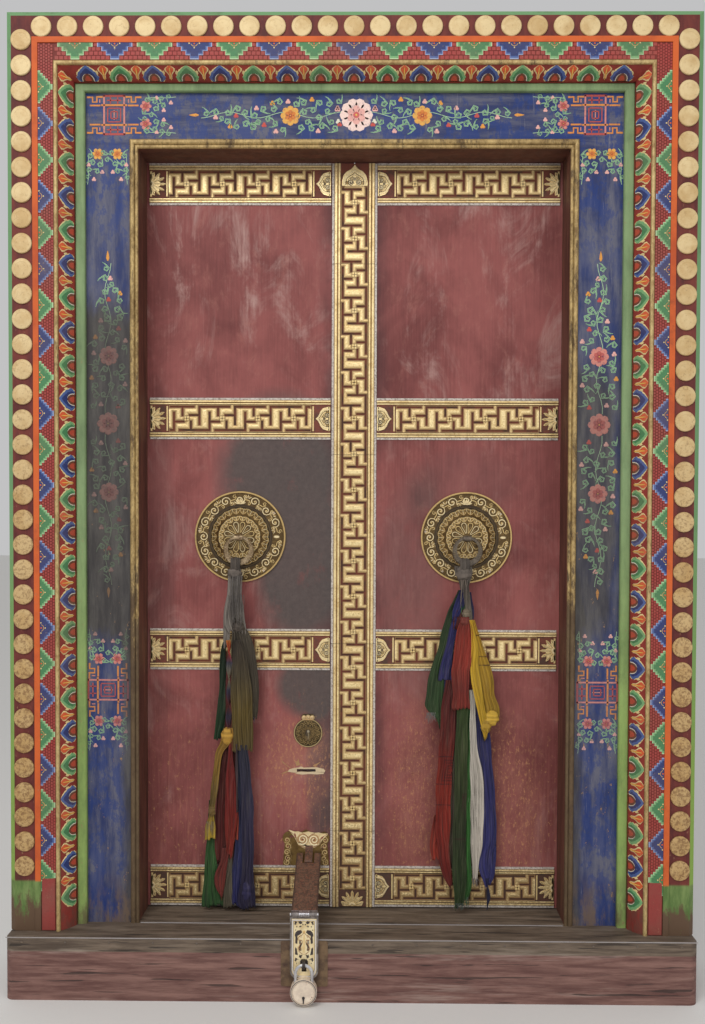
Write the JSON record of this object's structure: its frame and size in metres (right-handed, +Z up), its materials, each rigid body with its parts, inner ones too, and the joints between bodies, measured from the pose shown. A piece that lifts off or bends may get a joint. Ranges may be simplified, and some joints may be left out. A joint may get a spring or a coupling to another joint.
{
  "type": "carved temple door",
  "caption": "Painted and carved wooden double door in its frame and threshold, with metal fret bands, bosses, pull rings with scarves, and a hasp with a padlock.",
  "frame": {"origin": "on the ground under the meeting line of the leaves, in the plane of their outer face, on the threshold's underside", "axes": "+X to the right as seen from outside, +Y into the building, +Z up"},
  "size_m": [1.892, 0.364, 2.696],
  "materials": {
    "threshold_paint": "worn maroon paint",
    "plank_grey": "worn grey plank",
    "post_paint": "painted blue board",
    "bead_gilding": "gilded bead",
    "green_edge_paint": "green paint",
    "petal_paint": "painted petals",
    "casing_gilding": "gilded lath",
    "stepped_paint": "painted stepped carving",
    "disc_board_paint": "orange paint with discs",
    "leaf_paint": "maroon lacquer, scuffed",
    "ledge_wood": "oiled wood",
    "pivot_iron": "forged iron",
    "band_brass": "chased copper alloy",
    "boss_brass": "aged brass",
    "ring_brass": "dark brass",
    "scarf_cloth": "knotted scarves",
    "key_plate_brass": "aged brass",
    "cloud_plate_brass": "pierced brass",
    "hasp_iron": "worn iron",
    "hasp_brass": "pierced brass",
    "threshold_plate_brass": "worn gilding",
    "shackle_steel": "polished steel",
    "padlock_steel": "pale metal case"
  },
  "bodies": {
    "frame": {"threshold_beam": "threshold_paint", "threshold_outer_plank": "plank_grey", "threshold_inner_plank": "plank_grey", "lintel": "post_paint", "left_jamb_post": "post_paint", "right_jamb_post": "post_paint", "hasp_plate": "hasp_iron", "hasp_face": "hasp_brass", "hasp_hinge_pin": "hasp_iron", "threshold_plate": "threshold_plate_brass", "lock_staple": "hasp_iron", "opening_bead_left": "bead_gilding", "green_edge_left": "green_edge_paint", "petal_moulding_left": "petal_paint", "casing_bead_left": "casing_gilding", "stepped_board_left": "stepped_paint", "disc_board_left": "disc_board_paint", "opening_bead_right": "bead_gilding", "green_edge_right": "green_edge_paint", "petal_moulding_right": "petal_paint", "casing_bead_right": "casing_gilding", "stepped_board_right": "stepped_paint", "disc_board_right": "disc_board_paint", "opening_bead_top": "bead_gilding", "green_edge_top": "green_edge_paint", "petal_moulding_top": "petal_paint", "casing_bead_top": "casing_gilding", "stepped_board_top": "stepped_paint", "disc_board_top": "disc_board_paint", "bottom_pivot_cup_left": "pivot_iron", "top_pivot_block_left": "ledge_wood", "bottom_pivot_cup_right": "pivot_iron", "top_pivot_block_right": "ledge_wood"},
    "left_leaf": {"left_heel_stile": "leaf_paint", "left_middle_plank": "leaf_paint", "left_closing_plank": "leaf_paint", "left_ledges": "ledge_wood", "left_pivot_pins": "pivot_iron", "left_fret_bands": "band_brass", "left_boss": "boss_brass", "left_ring_knob": "ring_brass", "key_plate": "key_plate_brass", "cloud_plate": "cloud_plate_brass", "leaf_hook": "hasp_iron"},
    "right_leaf": {"right_heel_stile": "leaf_paint", "right_middle_plank": "leaf_paint", "right_closing_plank": "leaf_paint", "right_ledges": "ledge_wood", "right_pivot_pins": "pivot_iron", "right_fret_bands": "band_brass", "right_boss": "boss_brass", "right_ring_knob": "ring_brass", "astragal": "band_brass"},
    "left_pull_ring": {"left_pull_ring": "ring_brass"},
    "right_pull_ring": {"right_pull_ring": "ring_brass"},
    "left_scarves": {"left_scarves": "scarf_cloth"},
    "right_scarves": {"right_scarves": "scarf_cloth"},
    "hasp_strap": {"hasp_strap": "hasp_iron"},
    "shackle": {"shackle": "shackle_steel"},
    "padlock_case": {"padlock_case": "padlock_steel"}
  },
  "joints": [
    {"name": "left_leaf_swing", "type": "hinge", "parent": "frame", "child": "left_leaf", "pos_m": [-0.635, 0.025, 0.174], "axis": [0, 0, 1], "range_deg": [0, 100]},
    {"name": "right_leaf_swing", "type": "hinge", "parent": "frame", "child": "right_leaf", "pos_m": [0.635, 0.025, 0.174], "axis": [0, 0, 1], "range_deg": [-80, 0]},
    {"name": "left_ring_lift", "type": "hinge", "parent": "left_leaf", "child": "left_pull_ring", "pos_m": [-0.329, -0.045, 1.264], "axis": [-1, 0, 0], "range_deg": [0, 85]},
    {"name": "left_scarf_hang", "type": "hinge", "parent": "left_pull_ring", "child": "left_scarves", "pos_m": [-0.329, -0.045, 1.19225], "axis": [-1, 0, 0], "range_deg": [-85, 0]},
    {"name": "right_ring_lift", "type": "hinge", "parent": "right_leaf", "child": "right_pull_ring", "pos_m": [0.329, -0.045, 1.264], "axis": [-1, 0, 0], "range_deg": [0, 85]},
    {"name": "right_scarf_hang", "type": "hinge", "parent": "right_pull_ring", "child": "right_scarves", "pos_m": [0.329, -0.045, 1.19225], "axis": [-1, 0, 0], "range_deg": [-85, 0]},
    {"name": "hasp_strap_swing", "type": "hinge", "parent": "frame", "child": "hasp_strap", "pos_m": [-0.126, -0.245, 0.246], "axis": [1, 0, 0], "range_deg": [0, 150]},
    {"name": "shackle_swing", "type": "hinge", "parent": "frame", "child": "shackle", "pos_m": [-0.126, -0.262, 0.113], "axis": [-1, 0, 0], "range_deg": [0, 100]},
    {"name": "padlock_turn", "type": "hinge", "parent": "shackle", "child": "padlock_case", "pos_m": [-0.104, -0.262, 0.0635], "axis": [0, -1, 0], "range_deg": [0, 20]}
  ],
  "couplings": [
    {"joint": "right_leaf_swing", "follows": "left_leaf_swing", "ratio": -0.8},
    {"joint": "left_scarf_hang", "follows": "left_ring_lift", "ratio": -1},
    {"joint": "right_scarf_hang", "follows": "right_ring_lift", "ratio": -1}
  ]
}
